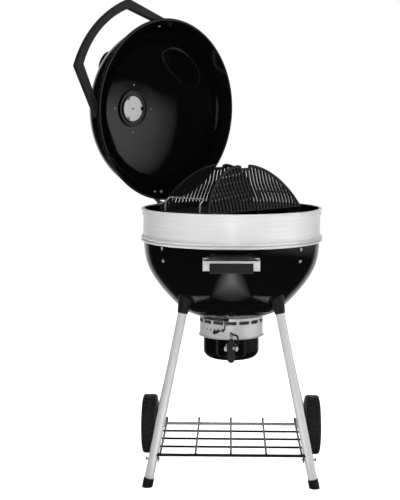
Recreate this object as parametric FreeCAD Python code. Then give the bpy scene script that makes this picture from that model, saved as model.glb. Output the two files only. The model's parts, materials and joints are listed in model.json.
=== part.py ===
import FreeCAD, Part
import math
import os

V = FreeCAD.Vector

# Kettle charcoal grill, millimetres. Everything is drawn about the kettle's vertical axis, with
# z = 0 on the floor, X to the right and the front at -Y. The finished pieces are then moved so that
# the origin is the middle of the whole grill's footprint, with the lid open.
AXIS_X = 100.6              # the kettle's axis, from the middle of the footprint
AXIS_Y = -56.7
RIM_Z = 880.0               # top edge of the bowl and its band
WALL = 2.0                  # enamelled steel of the bowl and lid
SHEET = 1.5                 # stainless sheet
GAP = 0.3                   # clearance between pieces that move on each other

# bowl and band
BOWL_R = 286.0
SHOULDER = 104.0            # depth at which the bowl starts to curve in
BOWL_CURVE = [(273.5, 187.0), (245.0, 239.0), (202.0, 291.0), (136.0, 343.0), (91.0, 356.0)]
BOWL_DEPTH = 361.0
BEAD_R = 3.5                # rolled beads of the band
BAND_BEADS = (93.0, 103.0)  # depth of the two lower beads
ASH_SLOT_R = (32.0, 84.0)   # three openings in the bowl's floor
ASH_SLOT_DEG = 40.0

# lid
LID_R = 286.5
LID_CONE_R = 302.5          # flared skirt that sits over the band
LID_CONE_H = 30.0
LID_DOME_H = 168.0
LID_DOME_POWER = 2.2
LID_SKIRT = 11.5            # the closed lid's edge is this far below the rim
LID_BEAD_R = 4.0
HINGE_AZ = 135.5            # bearing of the hinge from +X, back left
HINGE_R = 318.45
HINGE_DROP = 2.95           # hinge axis below the rim
LID_OPEN = 88.0
PIN_R = 4.0
HINGE_BASE_T = 6.0
FIT = 0.05                  # radial clearance of a pin or shaft in its bore

# cooking grate
GRATE_AZ = 139.8            # direction across the centre section, from flap to flap
GRATE_R = 257.0
GRATE_TOP = 1.0             # below the rim
GRATE_T = 8.0
FLAP_PIVOT = 102.0          # from the middle to each flap's hinge bar
FLAP_OPEN = 110.0           # a flap's angle up from flat
BAR_PITCH = 16.5
BAR_W = 5.5
BORDER = 9.0
NOTCH = (45.0, 13.0)        # width and depth of the finger notch in each flap

# charcoal grate and brackets
COAL_R = 246.0
COAL_DEPTH = 190.0
BRACKET_AZ = (-139.0, -41.0, 41.0, 139.0)
BRACKET_BOLTS = (116.0, 154.0)

# ash vent ring and ash bowl
RING_R = 104.0
RING_BOTTOM = 462.0
RING_SLOT_Z = (508.5, 519.5)
RING_SLOTS = 15
RING_SLOT_DEG = 19.4
ASH_R = 91.5
ASH_TOP = 470.0
ASH_BOTTOM = 386.0
ASH_CORNER = 26.0

# legs, shelf and wheels
LEG_R = 14.5
LEG_WALL = 1.5
LEG_TOP = (152.8, 148.5, 561.0)
FOOT = (266.0, 183.0, 0.0)
REAR_KNEE_Z = 160.0         # the rear legs are bent upright below this height
REAR_END = (241.5, 196.0, 90.0)
FOOT_H = 30.0
SOCKET_BOTTOM = 556.0
AXLE_Y = 196.0
AXLE_R = 5.0
WHEEL_R = 102.5             # also the height of the axle
WHEEL_IN = 257.0            # inner face of a wheel, from the kettle's axis
WHEEL_W = 53.0
SHELF_Z = 105.0
SHELF_ROWS = 4              # cross wires beside the axle
SHELF_PITCH_X = 112.0
SHELF_FRONT = -184.0
SHELF_REACH = 240.0


def polar(radius, degrees, z=0.0):
    """A point at a radius and bearing about the kettle's axis."""
    a = math.radians(degrees)
    return V(radius * math.cos(a), radius * math.sin(a), z)


def turned(shape, degrees):
    """A copy turned about the kettle's axis."""
    s = shape.copy()
    s.rotate(V(0, 0, 0), V(0, 0, 1), degrees)
    return s


def revolve(edges, degrees=360.0):
    """Turn a closed outline in the XZ plane about the Z axis."""
    return Part.Face(Part.Wire(Part.__sortEdges__(edges))).revolve(V(0, 0, 0), V(0, 0, 1), degrees)


def outline(points):
    """Straight closed outline as edges, from (r, z) pairs."""
    pts = [V(r, 0, z) for r, z in points]
    return [Part.LineSegment(a, b).toShape() for a, b in zip(pts, pts[1:] + pts[:1])]


def lathe(points):
    """A turned solid from straight (r, z) pairs."""
    return Part.Solid(revolve(outline(points)))


def torus(radius, minor, z):
    return Part.makeTorus(radius, minor, V(0, 0, z), V(0, 0, 1))


def cylinder(radius, start, end):
    d = end - start
    return Part.makeCylinder(radius, d.Length, start, d)


def box(low, high):
    return Part.makeBox(high[0] - low[0], high[1] - low[1], high[2] - low[2], V(*low))


def fuse(shapes):
    return shapes[0].multiFuse(shapes[1:]).removeSplitter() if len(shapes) > 1 else shapes[0]


def group(solids):
    return Part.makeCompound([s for shape in solids for s in shape.Solids])


def rod(points, radius, bend):
    """A round rod along straight runs, with a tangent arc at each inner point."""
    edges = []
    start = points[0]
    for before, corner, after in zip(points, points[1:], points[2:]):
        u = (before - corner).normalize()
        w = (after - corner).normalize()
        half = u.getAngle(w) / 2
        setback = bend / math.tan(half)
        a = corner + u * setback
        b = corner + w * setback
        middle = corner + (u + w).normalize() * (bend / math.sin(half) - bend)
        edges += [Part.LineSegment(start, a).toShape(), Part.Arc(a, middle, b).toShape()]
        start = b
    edges.append(Part.LineSegment(start, points[-1]).toShape())
    along = points[1] - points[0]
    section = Part.Wire(Part.Circle(points[0], along, radius).toShape())
    return Part.Wire(edges).makePipeShell([section], True, True)


def parallel(curve, gap, count=24):
    """A curve at a gap to the left of another, by points moved along its normal."""
    first, last = curve.FirstParameter, curve.LastParameter
    pts, tangents = [], []
    for i in range(count + 1):
        u = first + (last - first) * i / count
        t = curve.tangent(u)[0]
        pts.append(curve.value(u) + V(-t.z, 0, t.x) * gap)
        tangents.append(t)
    pts[-1].x = 0.0
    result = Part.BSplineCurve()
    result.interpolate(Points=pts, InitialTangent=tangents[0], FinalTangent=tangents[-1])
    return result


def bowl_curve():
    """The bowl's outer line from the shoulder to the middle of its floor."""
    pts = [V(BOWL_R, 0, RIM_Z - SHOULDER)] + [V(r, 0, RIM_Z - d) for r, d in BOWL_CURVE]
    pts.append(V(0, 0, RIM_Z - BOWL_DEPTH))
    curve = Part.BSplineCurve()
    curve.interpolate(Points=pts, InitialTangent=V(0, 0, -1), FinalTangent=V(-1, 0, 0))
    return curve


def lid_curve():
    """The lid's outer line from the skirt to the top: a quarter superellipse."""
    steps = 9
    pts = []
    for i in range(steps + 1):
        a = math.pi / 2 * i / steps
        r = LID_R * max(math.cos(a), 0.0) ** (2 / LID_DOME_POWER)
        h = LID_DOME_H * math.sin(a) ** (2 / LID_DOME_POWER)
        pts.append(V(r, 0, LID_CONE_H + h))
    pts[-1].x = 0.0
    curve = Part.BSplineCurve()
    curve.interpolate(Points=pts, InitialTangent=V(0, 0, 1), FinalTangent=V(-1, 0, 0))
    return curve


def strip(outer, inner, degrees=360.0):
    """The solid between two curves that run from a radius in to the axis."""
    a, b = outer.toShape(), inner.toShape()
    ends = [(outer.StartPoint, inner.StartPoint), (outer.EndPoint, inner.EndPoint)]
    return revolve([a, b] + [Part.LineSegment(p, q).toShape() for p, q in ends], degrees)


def plug(curve, z0):
    """The full solid inside a bowl or lid curve, carried on as a cylinder to z0."""
    start, end = curve.StartPoint, curve.EndPoint
    corners = [start, V(start.x, 0, z0), V(0, 0, z0), end]
    sides = [Part.LineSegment(p, q).toShape() for p, q in zip(corners, corners[1:])]
    return revolve([curve.toShape()] + sides)


def bolt(at, n, wall, head_r=5.5, head_h=3.5, nut=5.0):
    """A dome-head bolt: head on a face at a point, shank through the wall, and a nut behind it."""
    ball_r = (head_r ** 2 + head_h ** 2) / (2 * head_h)
    a = math.asin(head_r / ball_r) / 2
    crown = V(ball_r * math.sin(a), 0, head_h - ball_r * (1 - math.cos(a)))
    end = -(wall + nut / 2)
    corners = [V(head_r, 0, 0), V(SHANK_R, 0, 0), V(SHANK_R, 0, end), V(0, 0, end), V(0, 0, head_h)]
    edges = [Part.LineSegment(p, q).toShape() for p, q in zip(corners, corners[1:])]
    edges.append(Part.Arc(V(0, 0, head_h), crown, V(head_r, 0, 0)).toShape())
    body = revolve(edges)
    body.Placement = FreeCAD.Placement(at, FreeCAD.Rotation(V(0, 0, 1), n))
    if not nut:
        return body
    return body.fuse(Part.Face(Part.makePolygon(hexagon(at - n * wall, n, head_r))).extrude(n * -nut))


def hexagon(centre, normal, radius):
    side = normal.cross(V(0, 0, 1))
    side = V(1, 0, 0) if side.Length < 0.1 else side.normalize()
    up = normal.cross(side)
    angles = [math.pi / 3 * i for i in range(7)]
    return [centre + side * (radius * math.cos(a)) + up * (radius * math.sin(a)) for a in angles]


# --- curves and solids that the pieces share -------------------------------------------------
BOWL_OUT = bowl_curve()
BOWL_IN = parallel(BOWL_OUT, -WALL)
LID_OUT = lid_curve()
LID_IN = parallel(LID_OUT, WALL)
BOWL_SOLID = plug(BOWL_OUT, RIM_Z)
BOWL_VOID = plug(BOWL_IN, RIM_Z)
SHANK_R = 3.0
HOLE = 3.2                  # radius of every bolt hole
NUT_GAP = 0.4               # a flat nut on a curved wall touches only at its edge
BAND_OUT = BOWL_R + GAP + SHEET


def surface_point(curve, az, z):
    """The point of a turned curve at a bearing and height, and its outward normal."""
    low, high = curve.FirstParameter, curve.LastParameter
    rises = curve.EndPoint.z > curve.StartPoint.z
    for _ in range(40):
        middle = (low + high) / 2
        if (curve.value(middle).z < z) == rises:
            low = middle
        else:
            high = middle
    p, t = curve.value(low), curve.tangent(low)[0]
    n = V(t.z, 0, -t.x) * (1 if rises else -1)
    return polar(p.x, az, p.z), polar(n.x, az, n.z)


def bowl_point(az, z):
    return surface_point(BOWL_OUT, az, z)


# --- bolts: places shared by the holes and the bolts themselves ------------------------------
def bracket_bolt_places():
    for az in BRACKET_AZ:
        for depth in BRACKET_BOLTS:
            at, n = bowl_point(az, RIM_Z - depth)
            yield at, n, WALL + SHEET + NUT_GAP


def band_bolt_places():
    z = RIM_Z - 19.0
    for az in (0.0, 180.0):
        yield polar(BAND_OUT, az, z), polar(1, az), WALL + GAP + SHEET + NUT_GAP


def hinge_bolt_places():
    """Two bolts through the hinge bracket, the band and the bowl."""
    side = polar(1, HINGE_AZ + 90)
    for z in (RIM_Z - 32.0, RIM_Z - 62.0):
        for across in (-20.0, 20.0):
            at = polar(BAND_OUT + HINGE_BASE_T, HINGE_AZ, z) + side * across
            yield at, polar(1, HINGE_AZ), WALL + GAP + SHEET + HINGE_BASE_T + 2.8


def handle_bolt_places():
    for az in (-105.5, -74.5):
        at, n = bowl_point(az, RIM_Z - 154.0)
        yield at + n * (SHEET + 0.05), n, WALL + SHEET + NUT_GAP


def drilled(shape, places):
    """Cut the bolt holes of some places through a shape."""
    for at, n, _ in places:
        shape = shape.cut(cylinder(HOLE, at - n * 25.0, at + n * 8.0))
    return shape


# --- kettle ----------------------------------------------------------------------------------
def bowl_shell():
    top = RIM_Z - 1.0
    low = RIM_Z - SHOULDER
    wall = lathe([(BOWL_R - WALL, low), (BOWL_R, low), (BOWL_R, top), (BOWL_R - WALL, top)])
    shell = wall.fuse(strip(BOWL_OUT, BOWL_IN)).removeSplitter()
    inner, outer = ASH_SLOT_R
    depth = RIM_Z - BOWL_DEPTH
    slot = Part.makeCylinder(outer, 40, V(0, 0, depth - 10), V(0, 0, 1), ASH_SLOT_DEG)
    slot = slot.cut(Part.makeCylinder(inner, 40, V(0, 0, depth - 10)))
    cutters = [turned(slot, 120 * i + 90 - ASH_SLOT_DEG / 2) for i in range(3)]
    cutters.append(Part.makeCylinder(5.0 + FIT, 40, V(0, 0, depth - 10)))
    shell = shell.cut(Part.makeCompound(cutters))
    places = [*bracket_bolt_places(), *band_bolt_places(), *hinge_bolt_places(), *handle_bolt_places()]
    return drilled(shell, places)


def rim_band():
    inside, outside = BOWL_R + GAP / 10, BAND_OUT
    low = RIM_Z - BAND_BEADS[-1] - BEAD_R
    tube = lathe([(inside, low), (outside, low), (outside, RIM_Z - BEAD_R), (inside, RIM_Z - BEAD_R)])
    depths = (BEAD_R,) + BAND_BEADS
    beads = [torus(outside + BEAD_R, BEAD_R + 0.4, RIM_Z - d) for d in depths[1:]]
    top = torus(outside + BEAD_R - 0.4, BEAD_R, RIM_Z - BEAD_R)
    band = fuse([tube, top] + beads)
    return drilled(band, [*band_bolt_places(), *hinge_bolt_places()])


def grate_brackets():
    """Four strips inside the wall, each with a ledge for the cooking grate and one for the coals."""
    ledge_top = RIM_Z - GRATE_TOP - GRATE_T
    coal_top = RIM_Z - COAL_DEPTH
    half = 6.0
    gap = 0.1
    wedge = strip(parallel(BOWL_OUT, -(WALL + gap)), parallel(BOWL_OUT, -(WALL + gap + SHEET)), 2 * half)
    wedge = wedge.cut(box((-400, -400, 0), (400, 400, coal_top - SHEET)))
    r = BOWL_R - WALL - gap
    wall = revolve(outline([(r - SHEET, RIM_Z - SHOULDER), (r, RIM_Z - SHOULDER),
                            (r, ledge_top), (r - SHEET, ledge_top)]), 2 * half)
    top = revolve(outline([(r - 36, ledge_top - SHEET), (r, ledge_top - SHEET),
                           (r, ledge_top), (r - 36, ledge_top)]), 2 * half)
    z = coal_top
    reach = bowl_point(0, z)[0].x - WALL - SHEET - gap
    foot = revolve(outline([(COAL_R - 16, z - SHEET), (reach, z - SHEET), (reach, z),
                            (COAL_R - 16, z)]), 2 * half)
    bracket = fuse([wall, wedge, top, foot])
    placed = [turned(bracket, az - half) for az in BRACKET_AZ]
    return group([drilled(p, [*bracket_bolt_places(), *hinge_bolt_places()]) for p in placed])


def bowl_bolts():
    places = [*bracket_bolt_places(), *band_bolt_places(), *hinge_bolt_places(), *handle_bolt_places()]
    return group([bolt(at, n, wall) for at, n, wall in places])


HANDLE_HALF = 85.0
HANDLE_FRONT = -350.0
HANDLE_Z = (RIM_Z - 163.0, RIM_Z - 133.0)


def bowl_handle_bracket():
    """A bright U of strip with flanges on the bowl, end tabs and a cross strip behind the grip."""
    low, high = HANDLE_Z
    t = 2.5
    arms = []
    for s in (-1, 1):
        x0, x1 = sorted((s * HANDLE_HALF, s * (HANDLE_HALF - t)))
        arms.append(box((x0, HANDLE_FRONT, low), (x1, -240, high)))
        x0, x1 = sorted((s * 62.0, s * HANDLE_HALF))
        arms.append(box((x0, HANDLE_FRONT, low), (x1, HANDLE_FRONT + t, high)))
    cross = box((-64, HANDLE_FRONT, low + 6), (64, HANDLE_FRONT + t, high))
    skin = plug(parallel(BOWL_OUT, SHEET), RIM_Z).cut(BOWL_SOLID)
    flanges = [skin.common(box((s * 75 - 11, -400, low), (s * 75 + 11, -200, high))) for s in (-1, 1)]
    bracket = fuse([a.cut(BOWL_SOLID) for a in arms] + [cross] + flanges)
    return drilled(bracket, handle_bolt_places())


def bowl_handle_grip():
    low, high = RIM_Z - 170.5, RIM_Z - 140.5
    grip = box((-65, HANDLE_FRONT - 9, low), (65, HANDLE_FRONT, high))
    grip = grip.makeFillet(4.0, [e for e in grip.Edges if e.BoundBox.YMax < HANDLE_FRONT - 8])
    back = box((-60, HANDLE_FRONT + 2.5, low + 3), (60, HANDLE_FRONT + 9, low + 9))
    return fuse([grip, back, box((-60, HANDLE_FRONT - 4, low + 3), (60, HANDLE_FRONT + 4, low + 4.5))])


def bowl_handle_shield():
    """The sloped heat shield from the bowl out over the grip."""
    y0, z0 = -284.0, RIM_Z - 124.0
    y1, z1 = HANDLE_FRONT - 2, RIM_Z - 132.9
    corners = [V(-40, y0, z0), V(40, y0, z0), V(HANDLE_HALF - 2, y1, z1), V(2 - HANDLE_HALF, y1, z1)]
    plate = Part.Face(Part.makePolygon(corners + corners[:1])).extrude(V(0, 0, 2.5))
    lip = box((2 - HANDLE_HALF, y1, z1), (HANDLE_HALF - 2, y1 + 2.5, z1 + 3.5))
    return fuse([plate, lip]).cut(BOWL_SOLID)


# --- hinge -----------------------------------------------------------------------------------
HINGE_Z = RIM_Z - HINGE_DROP
BARREL_R = 8.0
EAR_T = 5.0
EAR_AT = 30.0               # middle of the bracket's ears, along the pin
ARM_EAR_AT = EAR_AT - EAR_T - 0.5


def local_box(low, high):
    """A box drawn with X along the hinge's bearing and Y along the pin, then turned there."""
    return turned(box(low, high), HINGE_AZ)


def hinge_ear(across, points, bore):
    """A plate across the pin, from (r, z) points, with a round end and a bore on the hinge axis."""
    pts = [V(r, across - EAR_T / 2, z) for r, z in points]
    plate = Part.Face(Part.makePolygon(pts + pts[:1])).extrude(V(0, EAR_T, 0))
    a, b = V(HINGE_R, across - EAR_T / 2, HINGE_Z), V(HINGE_R, across + EAR_T / 2, HINGE_Z)
    ear = plate.fuse(cylinder(BARREL_R, a, b)).cut(cylinder(bore, a - V(0, 1, 0), b + V(0, 1, 0)))
    return turned(ear.removeSplitter(), HINGE_AZ)


def hinge_bracket():
    r = BAND_OUT
    base = local_box((r - 20, -36, RIM_Z - 76), (r + HINGE_BASE_T, 36, RIM_Z - 20))
    shape = [(r - 10, RIM_Z - 74), (HINGE_R + 2, RIM_Z - 34), (HINGE_R + BARREL_R, HINGE_Z),
             (HINGE_R - BARREL_R, HINGE_Z), (r + 5, RIM_Z - 20), (r - 10, RIM_Z - 22)]
    ears = [hinge_ear(s * EAR_AT, shape, PIN_R) for s in (-1, 1)]
    full = Part.makeCylinder(BAND_OUT, 90, V(0, 0, RIM_Z - 90))
    lid_edge = Part.makeCylinder(HINGE_R - BARREL_R - 1, 40, V(0, 0, RIM_Z - LID_SKIRT - 1))
    return drilled(fuse([base] + ears).cut(full).cut(lid_edge), hinge_bolt_places())


def hinge_pin():
    a = polar(HINGE_R, HINGE_AZ, HINGE_Z)
    side = polar(1, HINGE_AZ + 90)
    reach = EAR_AT + EAR_T / 2
    pin = cylinder(PIN_R, a - side * (reach + 4), a + side * (reach + 4))
    heads = [cylinder(7, a + side * (s * reach), a + side * (s * (reach + 4))) for s in (-1, 1)]
    return fuse([pin] + heads)


# --- ash vent ring ---------------------------------------------------------------------------
def ash_ring():
    inside = RING_R - SHEET
    top = RIM_Z - 345.0
    ring = lathe([(inside, RING_BOTTOM), (RING_R + 4, RING_BOTTOM), (RING_R + 4, RING_BOTTOM + SHEET),
                  (RING_R, RING_BOTTOM + 4), (RING_R, top), (inside, top)])
    ring = ring.cut(BOWL_SOLID)
    low, high = RING_SLOT_Z
    cutter = Part.makeCylinder(RING_R + 9, high - low, V(0, 0, low), V(0, 0, 1), RING_SLOT_DEG)
    cutter = cutter.cut(Part.makeCylinder(inside - 9, high - low, V(0, 0, low)))
    pitch = 360.0 / RING_SLOTS
    cutters = [turned(cutter, -90 - RING_SLOT_DEG / 2 + pitch * i) for i in range(RING_SLOTS)]
    notch = Part.makeCylinder(RING_R + 9, 20, V(0, 0, 520.5), V(0, 0, 1), 64)
    notch = notch.cut(Part.makeCylinder(inside - 9, 20, V(0, 0, 520.5)))
    cutters.append(turned(notch, -158))
    seam = box((44, -RING_R - 5, RING_BOTTOM + 5), (45, -RING_R + 6, RIM_Z - 372))
    return ring.cut(Part.makeCompound(cutters + [seam.common(lathe([
        (RING_R - 0.5, 0), (RING_R + 9, 0), (RING_R + 9, 900), (RING_R - 0.5, 900)]))]))


def ring_tabs():
    """Three angle tabs that carry the ring under the bowl."""
    tabs = []
    inside = Part.makeCylinder(RING_R - SHEET, 100, V(0, 0, 460))
    for az in (-30.0, 90.0, 180.0):
        leg = box((RING_R - SHEET - 3, -10, 488), (RING_R, 10, 525)).common(inside)
        top = box((RING_R - 22, -10, 500), (RING_R - SHEET, 10, 560))
        skin = plug(parallel(BOWL_OUT, 2.0), RIM_Z).cut(BOWL_SOLID)
        tabs.append(turned(fuse([leg.cut(BOWL_SOLID), skin.common(top).common(inside)]), az))
    return group(tabs)


def catch_loop():
    """The bright loop on the ring's front that the latch hook catches."""
    y = -RING_R
    z = RING_BOTTOM + 14
    pts = [V(-5, y + 0.1, z), V(-5, y - 13, z), V(5, y - 13, z), V(5, y + 0.1, z)]
    return rod(pts, 2.0, 3.0)


# --- damper ----------------------------------------------------------------------------------
LEVER_AZ = -100.6


def cleaning_blades():
    inner = parallel(BOWL_OUT, -(WALL + 1.0))
    outer = parallel(BOWL_OUT, -(WALL + 3.0))
    blade = strip(inner, outer, ASH_SLOT_DEG + 8)
    ring = Part.makeCylinder(ASH_SLOT_R[1] + 8, 200, V(0, 0, 450))
    blade = blade.common(ring.cut(Part.makeCylinder(11.0, 200, V(0, 0, 450))))
    blades = [turned(blade, 120 * i + 90 - (ASH_SLOT_DEG + 8) / 2) for i in range(3)]
    hub = Part.makeCylinder(16.0, 10.0, V(0, 0, RIM_Z - BOWL_DEPTH + WALL + 0.6))
    return fuse(blades + [hub]).cut(Part.makeCylinder(5.0, 60, V(0, 0, 500)))


LEVER_CORNER = polar(111, LEVER_AZ, 494.0)
LEVER_END = polar(111, LEVER_AZ - 13, 486.5)


def damper_lever():
    floor = RIM_Z - BOWL_DEPTH
    shaft = Part.makeCylinder(5.0, 30.0, V(0, 0, floor - 15))
    collar = Part.makeCylinder(9.0, 9.0, V(0, 0, floor - 16))
    out = polar(1, LEVER_AZ)

    def at(radius, z):
        return out * radius + V(0, 0, z)
    pts = [at(0, floor - 11), at(60, floor - 9), at(97, 522.3), at(111, 523.3), LEVER_CORNER, LEVER_END]
    return fuse([shaft, collar, rod(pts, 2.0, 3.0)])


def damper_knob():
    """A turned knob pushed on the end of the lever's wire."""
    knob = lathe([(2.0 + FIT, 0), (5, 0), (5, 9), (6, 11), (6, 14), (5, 16), (0, 16), (0, 3), (2.0 + FIT, 3)])
    along = (LEVER_END - LEVER_CORNER).normalize()
    knob.Placement = FreeCAD.Placement(LEVER_END - along * 2, FreeCAD.Rotation(V(0, 0, 1), along))
    return knob


# --- ash bowl and latch ----------------------------------------------------------------------
def ash_profile(gap):
    r, z0, z1, c = ASH_R - gap, ASH_BOTTOM + gap, ASH_TOP, ASH_CORNER - gap
    bend = math.sqrt(0.5) * c
    edges = [Part.LineSegment(V(0, 0, z0), V(r - c, 0, z0)).toShape(),
             Part.Arc(V(r - c, 0, z0), V(r - c + bend, 0, z0 + c - bend), V(r, 0, z0 + c)).toShape(),
             Part.LineSegment(V(r, 0, z0 + c), V(r, 0, z1)).toShape(),
             Part.LineSegment(V(r, 0, z1), V(0, 0, z1)).toShape(),
             Part.LineSegment(V(0, 0, z1), V(0, 0, z0)).toShape()]
    return revolve(edges)


def ash_bowl():
    lip = lathe([(ASH_R - 1, ASH_TOP - 3), (ASH_R + 6, ASH_TOP - 3), (ASH_R + 6, ASH_TOP),
                 (ASH_R - 1, ASH_TOP)])
    inside = ash_profile(WALL)
    return ash_profile(0.0).fuse(lip).cut(inside.fuse(Part.makeCylinder(ASH_R - WALL, 9, V(0, 0, ASH_TOP - 5))))


PLATE_Y = -ASH_R
LATCH_PIVOT = V(9.0, -127.0, 441.0)


def ash_handle_plate():
    """The bright bracket between the ash bowl and its black handle."""
    plate = box((-16, PLATE_Y - 4, 424), (16, PLATE_Y + 20, 446))
    post = box((-7, -109, 428), (7, PLATE_Y, 442))
    full = Part.makeCylinder(ASH_R, 90, V(0, 0, ASH_BOTTOM))
    return fuse([plate, post]).cut(full)


def ash_handle():
    """The black handle, narrow at the neck and round at the tip."""
    half, neck, y0, y1 = 14.0, 4.0, -127.0, -109.0
    z_neck, z_top, z_low = 467.0, 449.0, 403.0
    left = [V(-neck, y0, z_neck), V(-half, y0, z_top), V(-half + 2, y0, z_low)]
    right = [V(half - 2, y0, z_low), V(half, y0, z_top), V(neck, y0, z_neck)]
    tip = Part.Arc(left[-1], V(0, y0, z_low - 13), right[0]).toShape()
    runs = list(zip(left, left[1:])) + list(zip(right, right[1:])) + [(right[-1], left[0])]
    edges = [Part.LineSegment(a, b).toShape() for a, b in runs] + [tip]
    body = Part.Face(Part.Wire(Part.__sortEdges__(edges))).extrude(V(0, y1 - y0, 0))
    return body.makeFillet(3.0, [e for e in body.Edges if e.BoundBox.YMax < y0 + 1])


def latch_pin():
    p = LATCH_PIVOT
    return fuse([cylinder(2.5, p, p - V(0, 9, 0)), cylinder(4.5, p - V(0, 9, 0), p - V(0, 11, 0))])


def latch_hook():
    """A C-shaped hook on the handle's face that catches the loop from the right."""
    p = LATCH_PIVOT
    y = p.y - 5.5
    tip = V(p.x - 10, y, p.z + 46)
    hook = rod([V(p.x, y, p.z), V(p.x + 13, y, p.z + 13), V(p.x + 12, y, p.z + 38), tip], 3.0, 8.0)
    eye = cylinder(6.0, V(p.x, y - 3, p.z), V(p.x, y + 3, p.z))
    catch = cylinder(3.0, tip, tip + V(0, 14, 0))
    bore = cylinder(2.5 + FIT, V(p.x, y - 6, p.z), V(p.x, y + 6, p.z))
    return fuse([hook, eye, catch, Part.makeSphere(3.0, tip)]).cut(bore)


# --- legs, shelf, wheels ---------------------------------------------------------------------
def corner(point, side, front):
    return V(side * point[0], front * point[1], point[2])


def knee(side):
    return V(side * REAR_END[0], REAR_END[1], REAR_KNEE_Z)


def leg_line(side, front):
    """Top and bottom of a leg's slanted part; front is -1 for the front legs."""
    bottom = corner(FOOT, side, front) if front < 0 else knee(side)
    return corner(LEG_TOP, side, front), bottom


def front_leg(side):
    top, bottom = leg_line(side, -1)
    up = (top - bottom).normalize()
    start = bottom + up * 14.0
    tube = cylinder(LEG_R, start, top + up * 12)
    tube = tube.cut(cylinder(LEG_R - LEG_WALL, start - up, top + up * 13))
    return tube.cut(shelf_bolt_holes())


def rear_leg(side):
    """A tube that turns upright beside the wheel, bored for the axle."""
    top, bend = leg_line(side, 1)
    up = (top - bend).normalize()
    path = [top + up * 12, bend, corner(REAR_END, side, 1)]
    tube = rod(path, LEG_R, 90.0).cut(rod(path, LEG_R - LEG_WALL, 90.0))
    return tube.cut(cylinder(AXLE_R, V(-400, AXLE_Y, WHEEL_R), V(400, AXLE_Y, WHEEL_R)))


def socket(side, front):
    """A plastic socket, flared on the bowl and round at the leg."""
    top, bottom = leg_line(side, front)
    up = (top - bottom).normalize()
    low = top - up * 5
    high = top + up * 88
    small = Part.Wire(Part.Circle(low, up, LEG_R + 2.2).toShape())
    middle = Part.Wire(Part.Circle(top + up * 30, up, LEG_R + 6.5).toShape())
    wide = Part.Wire(Part.Circle(high, up, LEG_R + 16).toShape())
    body = Part.makeLoft([small, middle, wide], True)
    return body.cut(BOWL_SOLID).cut(cylinder(LEG_R, low - up, top + up * 12))


def foot(side):
    """A black cap on a front leg, cut flat at the floor."""
    top, bottom = leg_line(side, -1)
    up = (top - bottom).normalize()
    cap = cylinder(LEG_R + 2.5, bottom - up * 12, bottom + up * FOOT_H)
    cap = cap.cut(cylinder(LEG_R, bottom + up * 14, bottom + up * (FOOT_H + 1)))
    return cap.cut(box((-400, -400, -60), (400, 400, 0)))


def leg_at(side, front, z):
    top, bottom = leg_line(side, front)
    return bottom + (top - bottom) * ((z - bottom.z) / (top.z - bottom.z))


def shelf():
    """Welded rack: cross wires over long wires that hook up at the back."""
    half = 2 * SHELF_PITCH_X + 7
    over = WHEEL_R + AXLE_R + 2.5
    wires = []
    pitch = (AXLE_Y - 12 - SHELF_FRONT) / SHELF_ROWS
    for i in range(SHELF_ROWS):
        y = SHELF_FRONT + pitch * i
        r = 4.0 if i == 0 else 2.75
        reach = SHELF_REACH if i == 0 else half
        wires.append(cylinder(r, V(-reach, y, SHELF_Z), V(reach, y, SHELF_Z)))
    for i in range(-2, 3):
        x = SHELF_PITCH_X * i
        front = V(x, SHELF_FRONT, SHELF_Z - 1)
        bend = V(x, SHELF_FRONT, over)
        back = V(x, AXLE_Y + 9, over)
        tail = V(x, AXLE_Y + 9, SHELF_Z + 17)
        wires.append(rod([front, bend, back, tail], 2.5, 4.0))
    legs = [cylinder(LEG_R, *leg_line(side, -1)[::-1]) for side in (-1, 1)]
    return fuse(wires).cut(Part.makeCompound(legs))


def shelf_bolt_holes():
    drills = []
    for side in (-1, 1):
        p = leg_at(side, -1, SHELF_Z - 14)
        drills.append(cylinder(HOLE, p - V(side * 40, 0, 0), p + V(side * 40, 0, 0)))
    return Part.makeCompound(drills)


def shelf_clamps():
    """A tab from each end of the front wire to its leg."""
    tabs = []
    for side in (-1, 1):
        p = leg_at(side, -1, SHELF_Z - 14)
        x = side * (abs(p.x) - LEG_R - 1)
        low = (min(x, x - side * 3), p.y - 9, SHELF_Z - 24)
        high = (max(x, x - side * 3), p.y + 9, SHELF_Z + 9)
        tab = box(low, high)
        wire = cylinder(4.0, V(-SHELF_REACH, SHELF_FRONT, SHELF_Z), V(SHELF_REACH, SHELF_FRONT, SHELF_Z))
        leg_solid = cylinder(LEG_R, *leg_line(side, -1)[::-1])
        tabs.append(tab.cut(wire).cut(leg_solid).cut(shelf_bolt_holes()))
    return group(tabs)


def shelf_screws():
    screws = []
    for side in (-1, 1):
        p = leg_at(side, -1, SHELF_Z - 14)
        at = V(side * (abs(p.x) - LEG_R - 4), p.y, p.z)
        screws.append(bolt(at, V(-side, 0, 0), 2 * LEG_R + 8.0))
    return group(screws)


def axle():
    z = WHEEL_R
    reach = WHEEL_IN + WHEEL_W - 4
    return cylinder(AXLE_R, V(-reach, AXLE_Y, z), V(reach, AXLE_Y, z))


def axle_caps():
    caps = []
    for side in (-1, 1):
        a = V(side * (WHEEL_IN + WHEEL_W - 8), AXLE_Y, WHEEL_R)
        b = a + V(side * 7, 0, 0)
        caps.append(cylinder(10, a, b).cut(cylinder(AXLE_R, a, a + V(side * 5, 0, 0))))
    return group(caps)


def wheel_solid(points, side):
    """Turn (radius, across) pairs about the axle, across measured out from the wheel's inner face."""
    solid = lathe(points)
    solid.rotate(V(0, 0, 0), V(0, 1, 0), 90 * side)
    solid.translate(V(side * WHEEL_IN, AXLE_Y, WHEEL_R))
    return solid


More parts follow.
